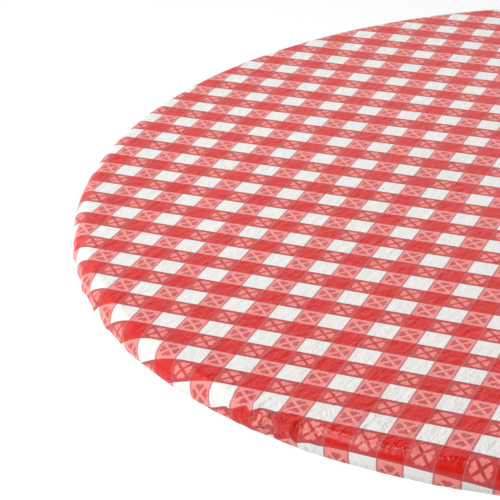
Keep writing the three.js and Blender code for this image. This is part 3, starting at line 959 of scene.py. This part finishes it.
def hex_rings(across, low, high, bore, sides=96):
    """A six-sided block with a round bore. Its reach is the half width over the cosine of the angle from
    the nearest flat's middle, cut off by a cone at both ends."""
    angle = np.arange(sides) * (2 * math.pi / sides)
    flat_angle = (angle + math.pi / 6) % (math.pi / 3) - math.pi / 6
    outline = across / 2 / np.cos(flat_angle)
    cone = across / 2 * 0.96
    slope = [0.0, 0.3, 0.7, 1.1]
    heights = [high - s * MM for s in slope] + [low + s * MM for s in slope[::-1]]
    reach = [cone + s * MM * 1.7 for s in slope + slope[::-1]]
    rows = [(np.full(sides, bore), high)]
    rows += [(np.minimum(outline, r), z) for r, z in zip(reach, heights)]
    rows += [(np.full(sides, bore), low)]
    return np.stack([np.stack([r * np.cos(angle), r * np.sin(angle), np.full(sides, z)], -1)
                     for r, z in rows])


def tie_rod():
    """The long bolt: a six-sided head, a plain shank and a thread on its lower end, cut as a triangle
    wave of height less angle."""
    low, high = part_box("tie_rod")
    head_low, tip = high.z - 6.4 * MM, low.z + 0.4 * MM
    sides = 48
    head = shell_parts(hex_rings(SPANNER, head_low, high.z, 0.6 * MM))
    shank_heights = (head_low + 1 * MM, 400 * MM, ROD_THREAD_TOP)
    shank = shell_parts(turned_rings([(ROD_RADIUS, z) for z in shank_heights], sides))
    heights = np.linspace(ROD_THREAD_TOP, tip, 168)
    angle = np.arange(sides) * (2 * math.pi / sides)
    turn = (heights[:, None] / ROD_PITCH - angle / (2 * math.pi)) % 1
    depth = 0.75 * MM * np.abs(turn * 2 - 1)
    depth = depth * smooth(ROD_THREAD_TOP, ROD_THREAD_TOP - 2 * MM, heights)[:, None]
    taper = 0.8 * MM * smooth(tip + 1.2 * MM, tip, heights)[:, None]
    radius = ROD_RADIUS - np.maximum(depth, taper)
    z = np.broadcast_to(heights[:, None], radius.shape)
    thread = shell_parts(np.stack([radius * np.cos(angle), radius * np.sin(angle), z], -1))
    thing = mesh_object("tie_rod_look", *joined_parts([head, shank, thread]), sharp=40)
    return place_piece(thing, zinc_plate(), "zinc_steel", "tie_rod")


def washer_and_nut():
    """The flat washer and the six-sided nut below the foot's pocket roof."""
    bore = 5.4 * MM
    low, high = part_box("rod_washer")
    profile = [(bore, high.z), (high.x, high.z), (high.x, low.z), (bore, low.z)]
    washer = lathe("flat_washer", profile, 96, 0.3 * MM, closed=True)
    place_piece(washer, zinc_plate(), "zinc_steel", "rod_washer")
    low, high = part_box("rod_nut")
    rings = hex_rings(SPANNER, low.z, high.z, 5.1 * MM)
    nut = mesh_object("hex_nut", *shell_parts(rings, looped=True), sharp=40)
    place_piece(nut, zinc_plate(), "zinc_steel", "rod_nut")


def glides():
    """The four pads under the arms: a dished foot with a ridge, and a stem."""
    material = moulded_nylon()
    pole, stem, pad = 0.6 * MM, 4 * MM, 15 * MM  # radii
    for i in range(4):
        node = f"foot_glide_{i + 1}"
        low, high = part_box(node)
        centre = ((low.x + high.x) / 2, (low.y + high.y) / 2)
        profile = [
            (pole, high.z), (stem, high.z), (stem, 6.2 * MM), (pad - 0.4 * MM, 6 * MM), (pad, 4 * MM),
            (pad - 0.7 * MM, 3.4 * MM), (pad - 0.2 * MM, 2.4 * MM), (pad - 1.8 * MM, low.z),
            (pad - 5 * MM, low.z), (pad - 6 * MM, 0.6 * MM), (pole, 0.6 * MM),
        ]
        thing = lathe(f"foot_pad_{i + 1}", profile, 72, 0.5 * MM, centre=centre)
        place_piece(thing, material, "nylon", node)


def screws():
    """Eight pan-head wood screws. The shank is a cone at its point and carries a thread, a squared
    triangle wave of height and angle. The head is a dome with a cross cut into it."""
    material = zinc_plate()
    sides, pitch, core, thread = 48, 1.8 * MM, 1.6 * MM, 0.75 * MM
    angle = np.arange(sides) * (2 * math.pi / sides)
    seat = spider_high.z - SPIDER_PLATE - 0.3 * MM
    dome = np.linspace(1, 0, 18)
    head_radius = np.concatenate([[4.4, 4.8, 4.75, 4.5, 4.0], np.linspace(3.4, 0.2, 18)]) * MM
    head_depth = np.concatenate([[0.0, 0.3, 1.2, 2.0, 2.5], 3.0 - 0.35 * dome ** 2]) * MM
    x, y = head_radius[:, None] * np.cos(angle), head_radius[:, None] * np.sin(angle)
    recess = smooth(0.75 * MM, 0.45 * MM, np.minimum(abs(x), abs(y)))
    recess = recess * smooth(2.7 * MM, 2.3 * MM, np.maximum(abs(x), abs(y)))
    head_z = seat - head_depth[:, None] + 1.6 * MM * recess
    for i in range(8):
        node = f"spider_screw_{i + 1}"
        low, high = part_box(node)
        centre = ((low.x + high.x) / 2, (low.y + high.y) / 2)
        shank = np.linspace(high.z, seat, 70)
        turn = (shank[:, None] / pitch + angle / (2 * math.pi)) % 1
        upper = core * smooth(high.z, high.z - 4 * MM, shank)[:, None] + 0.1 * MM
        upper = upper + thread * np.abs(turn * 2 - 1) ** 2 * smooth(high.z, high.z - 3 * MM, shank)[:, None]
        radius = np.concatenate([upper, np.broadcast_to(head_radius[:, None], x.shape)])
        height = np.concatenate([np.broadcast_to(shank[:, None], upper.shape), head_z])
        rings = np.stack([centre[0] + radius * np.cos(angle), centre[1] + radius * np.sin(angle), height], -1)
        thing = mesh_object(f"pan_head_screw_{i + 1}", *shell_parts(rings), sharp=45)
        place_piece(thing, material, "zinc_steel", node)


def finish_node(node, material):
    """Gives a node that is shown as it is its finish."""
    thing = nodes[node]
    thing.data.materials.clear()
    thing.data.materials.append(material)


def board():
    """The wooden top's four pieces, which keep the shapes they have in the model."""
    finish_node("tabletop_core", timber("birch_ply", (0.62, 0.45, 0.27, 1), (0.42, 0.27, 0.14, 1), 0.7,
                                        (0.6, 6.0, 60.0)))
    finish_node("nosing_ring", timber("beech", (0.55, 0.34, 0.17, 1), (0.36, 0.20, 0.09, 1), 0.55,
                                      (1.0, 8.0, 8.0)))
    sheet = timber("laminate_sheet", (0.64, 0.56, 0.44, 1), (0.52, 0.44, 0.33, 1), 0.45, (0.8, 9.0, 9.0))
    finish_node("top_laminate", sheet)
    finish_node("backer_laminate", sheet)


printed_cover = cover()
flannel_lining = lining()
hem_pieces = [hem_tape(), hem_elastic(), hem_stitches()]
board()
iron_spider()
screws()
column()
tie_rod()
washer_and_nut()
iron_base()
glides()

2 * CUT_RADIUS
2 * CUT_RADIUS
math.pi * CUT_RADIUS ** 2

# ---- The stage, the lights and the camera ----

FLOOR_GLOW = 0.24
SKY_LOW = 0.50
SKY_BANDS = ((0.18, 0.32, 1.25), (0.36, 0.58, 0.30), (0.56, 0.76, 0.07))  # from, to, brightness from there up
LIGHT_AIM = (0, 0, 0.75)


def stage():
    """A pale floor that glows faintly, as a lit studio sweep does. It is clear from below."""
    half = 20.0
    corners = np.array([[-half, -half, 0], [half, -half, 0], [half, half, 0], [-half, half, 0]])
    floor = mesh_object("floor", corners, [[0, 1, 2, 3]])
    material, tree, shader = new_material("floor_paper", 0.9)
    shader.inputs["Base Color"].default_value = (0.9, 0.9, 0.9, 1)
    shader.inputs["Specular IOR Level"].default_value = 0.0
    shader.inputs["Emission Color"].default_value = (1, 1, 1, 1)
    shader.inputs["Emission Strength"].default_value = FLOOR_GLOW
    clear = tree.nodes.new("ShaderNodeBsdfTransparent")
    side = tree.nodes.new("ShaderNodeNewGeometry")
    mix = tree.nodes.new("ShaderNodeMixShader")
    tree.links.new(side.outputs["Backfacing"], mix.inputs[0])
    tree.links.new(shader.outputs[0], mix.inputs[1])
    tree.links.new(clear.outputs[0], mix.inputs[2])
    tree.links.new(mix.outputs[0], tree.nodes["Material Output"].inputs["Surface"])
    floor.data.materials.append(material)


def sky():
    """Soft light from all round: brightest about twenty degrees up, dim overhead."""
    world = bpy.data.worlds.new("studio")
    world.use_nodes = True
    bpy.context.scene.world = world
    tree = world.node_tree
    place = tree.nodes.new("ShaderNodeTexCoord").outputs["Generated"]
    split = tree.nodes.new("ShaderNodeSeparateXYZ")
    tree.links.new(place, split.inputs[0])
    height = Signal(tree, split.outputs["Z"])
    bands = [(height.step(low, high), (grey, grey, grey, 1)) for low, high, grey in SKY_BANDS]
    colour = painted(tree, (SKY_LOW, SKY_LOW, SKY_LOW, 1), *bands)
    background = tree.nodes["Background"]
    tree.links.new(colour, background.inputs["Color"])
    background.inputs["Strength"].default_value = 1.0


def soft_light(name, place, size, power, glossy=True):
    """A round soft light turned to the table. If it is not glossy, no surface mirrors it."""
    data = bpy.data.lights.new(name, "AREA")
    data.shape = "DISK"
    data.size = size
    data.energy = power
    lamp = bpy.data.objects.new(name, data)
    lamp.location = place
    lamp.visible_glossy = glossy
    lamp.rotation_euler = (Vector(LIGHT_AIM) - Vector(place)).to_track_quat("-Z", "Y").to_euler()
    bpy.context.scene.collection.objects.link(lamp)


def camera():
    """A long lens above the near side of the table, turned by azimuth, elevation and roll."""
    data = bpy.data.cameras.new("camera")
    data.sensor_width = SENSOR
    data.lens = LENS
    eye = bpy.data.objects.new("camera", data)
    azimuth, elevation = math.radians(CAMERA_AZIMUTH), math.radians(CAMERA_ELEVATION)
    back = Vector((math.sin(azimuth) * math.cos(elevation), -math.cos(azimuth) * math.cos(elevation),
                   math.sin(elevation)))
    level = Vector((0, 0, 1)).cross(back).normalized()
    upright = back.cross(level)
    roll = math.radians(CAMERA_ROLL)
    right = level * math.cos(roll) + upright * math.sin(roll)
    up = back.cross(right)
    turn = Matrix((right, up, back)).transposed()
    eye.matrix_world = Matrix.Translation(CAMERA_PLACE) @ turn.to_4x4()
    bpy.context.scene.collection.objects.link(eye)
    bpy.context.scene.camera = eye


stage()
sky()
soft_light("key", (-3.65, -0.84, 4.5), 2.8, 206, glossy=False)
soft_light("glint", (-2.67, -1.13, 4.6), 1.6, 64)
camera()
bpy.context.scene.view_settings.view_transform = "Standard"
